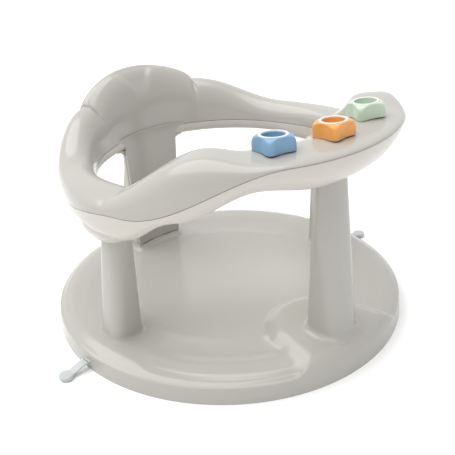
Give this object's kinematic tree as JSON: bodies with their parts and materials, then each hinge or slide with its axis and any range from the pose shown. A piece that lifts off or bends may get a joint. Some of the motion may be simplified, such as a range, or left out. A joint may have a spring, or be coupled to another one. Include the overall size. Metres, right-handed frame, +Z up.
{
  "type": "baby bath ring",
  "caption": "Round bath seat for a baby: a base with suction cups, hollow legs and a padded-looking ring with a backrest, side arms and a play tray with spinning toys.",
  "frame": {"origin": "middle of the base, on the bath floor", "axes": "+Z up, -Y towards the tray and its toys, +Y towards the backrest, +X towards the baby's left-hand arm rest"},
  "size_m": [0.3695, 0.3166, 0.2026],
  "materials": {
    "grey_plastic": "glossy moulded warm light grey",
    "ivory_plastic": "satin-gloss moulded ivory",
    "white_plastic": "glossy white",
    "silicone": "translucent milky silicone",
    "steel": "plain steel screw",
    "toy_blue": "glossy blue",
    "toy_orange": "glossy orange",
    "toy_green": "glossy pale green"
  },
  "bodies": {
    "frame": {"base_with_legs": "grey_plastic", "ring_cover": "grey_plastic", "ring_shell": "ivory_plastic", "leg_screw_front": "steel", "leg_screw_left": "steel", "leg_screw_right": "steel", "rear_foot_screw_left": "steel", "rear_foot_screw_right": "steel", "cover_screw_left_1": "steel", "cover_screw_right_1": "steel", "cover_screw_left_2": "steel", "cover_screw_right_2": "steel", "cover_screw_left_3": "steel", "cover_screw_right_3": "steel", "suction_cup_front": "silicone", "suction_cup_left": "silicone", "suction_cup_right": "silicone", "suction_cup_rear": "silicone"},
    "release_tab_left": {"release_tab_left": "silicone"},
    "release_tab_right": {"release_tab_right": "silicone"},
    "toy_blue_spinner": {"toy_blue": "toy_blue", "toy_blue_ring": "white_plastic", "toy_blue_spindle": "white_plastic", "toy_blue_clip": "white_plastic"},
    "toy_orange_spinner": {"toy_orange": "toy_orange", "toy_orange_ring": "white_plastic", "toy_orange_spindle": "white_plastic", "toy_orange_clip": "white_plastic"},
    "toy_green_spinner": {"toy_green": "toy_green", "toy_green_ring": "white_plastic", "toy_green_spindle": "white_plastic", "toy_green_clip": "white_plastic"}
  },
  "joints": [
    {"name": "blue_toy_spin", "type": "hinge", "parent": "frame", "child": "toy_blue_spinner", "pos_m": [-0.05106, -0.11205, 0.18216], "axis": [0.0361, 0.0793, 0.9962], "continuous": true},
    {"name": "orange_toy_spin", "type": "hinge", "parent": "frame", "child": "toy_orange_spinner", "pos_m": [0, -0.12314, 0.18216], "axis": [0, 0.0872, 0.9962], "continuous": true},
    {"name": "green_toy_spin", "type": "hinge", "parent": "frame", "child": "toy_green_spinner", "pos_m": [0.05106, -0.11205, 0.18216], "axis": [-0.0361, 0.0793, 0.9962], "continuous": true},
    {"name": "left_tab_bend", "type": "hinge", "parent": "frame", "child": "release_tab_left", "pos_m": [-0.1611, 0, 0.007], "axis": [0, 1, 0], "range_deg": [0, 60], "stiffness_Nm_per_rad": 0.02},
    {"name": "right_tab_bend", "type": "hinge", "parent": "frame", "child": "release_tab_right", "pos_m": [0.16071, -0.01124, 0.007], "axis": [-0.0698, -0.9976, 0], "range_deg": [0, 60], "stiffness_Nm_per_rad": 0.02}
  ]
}
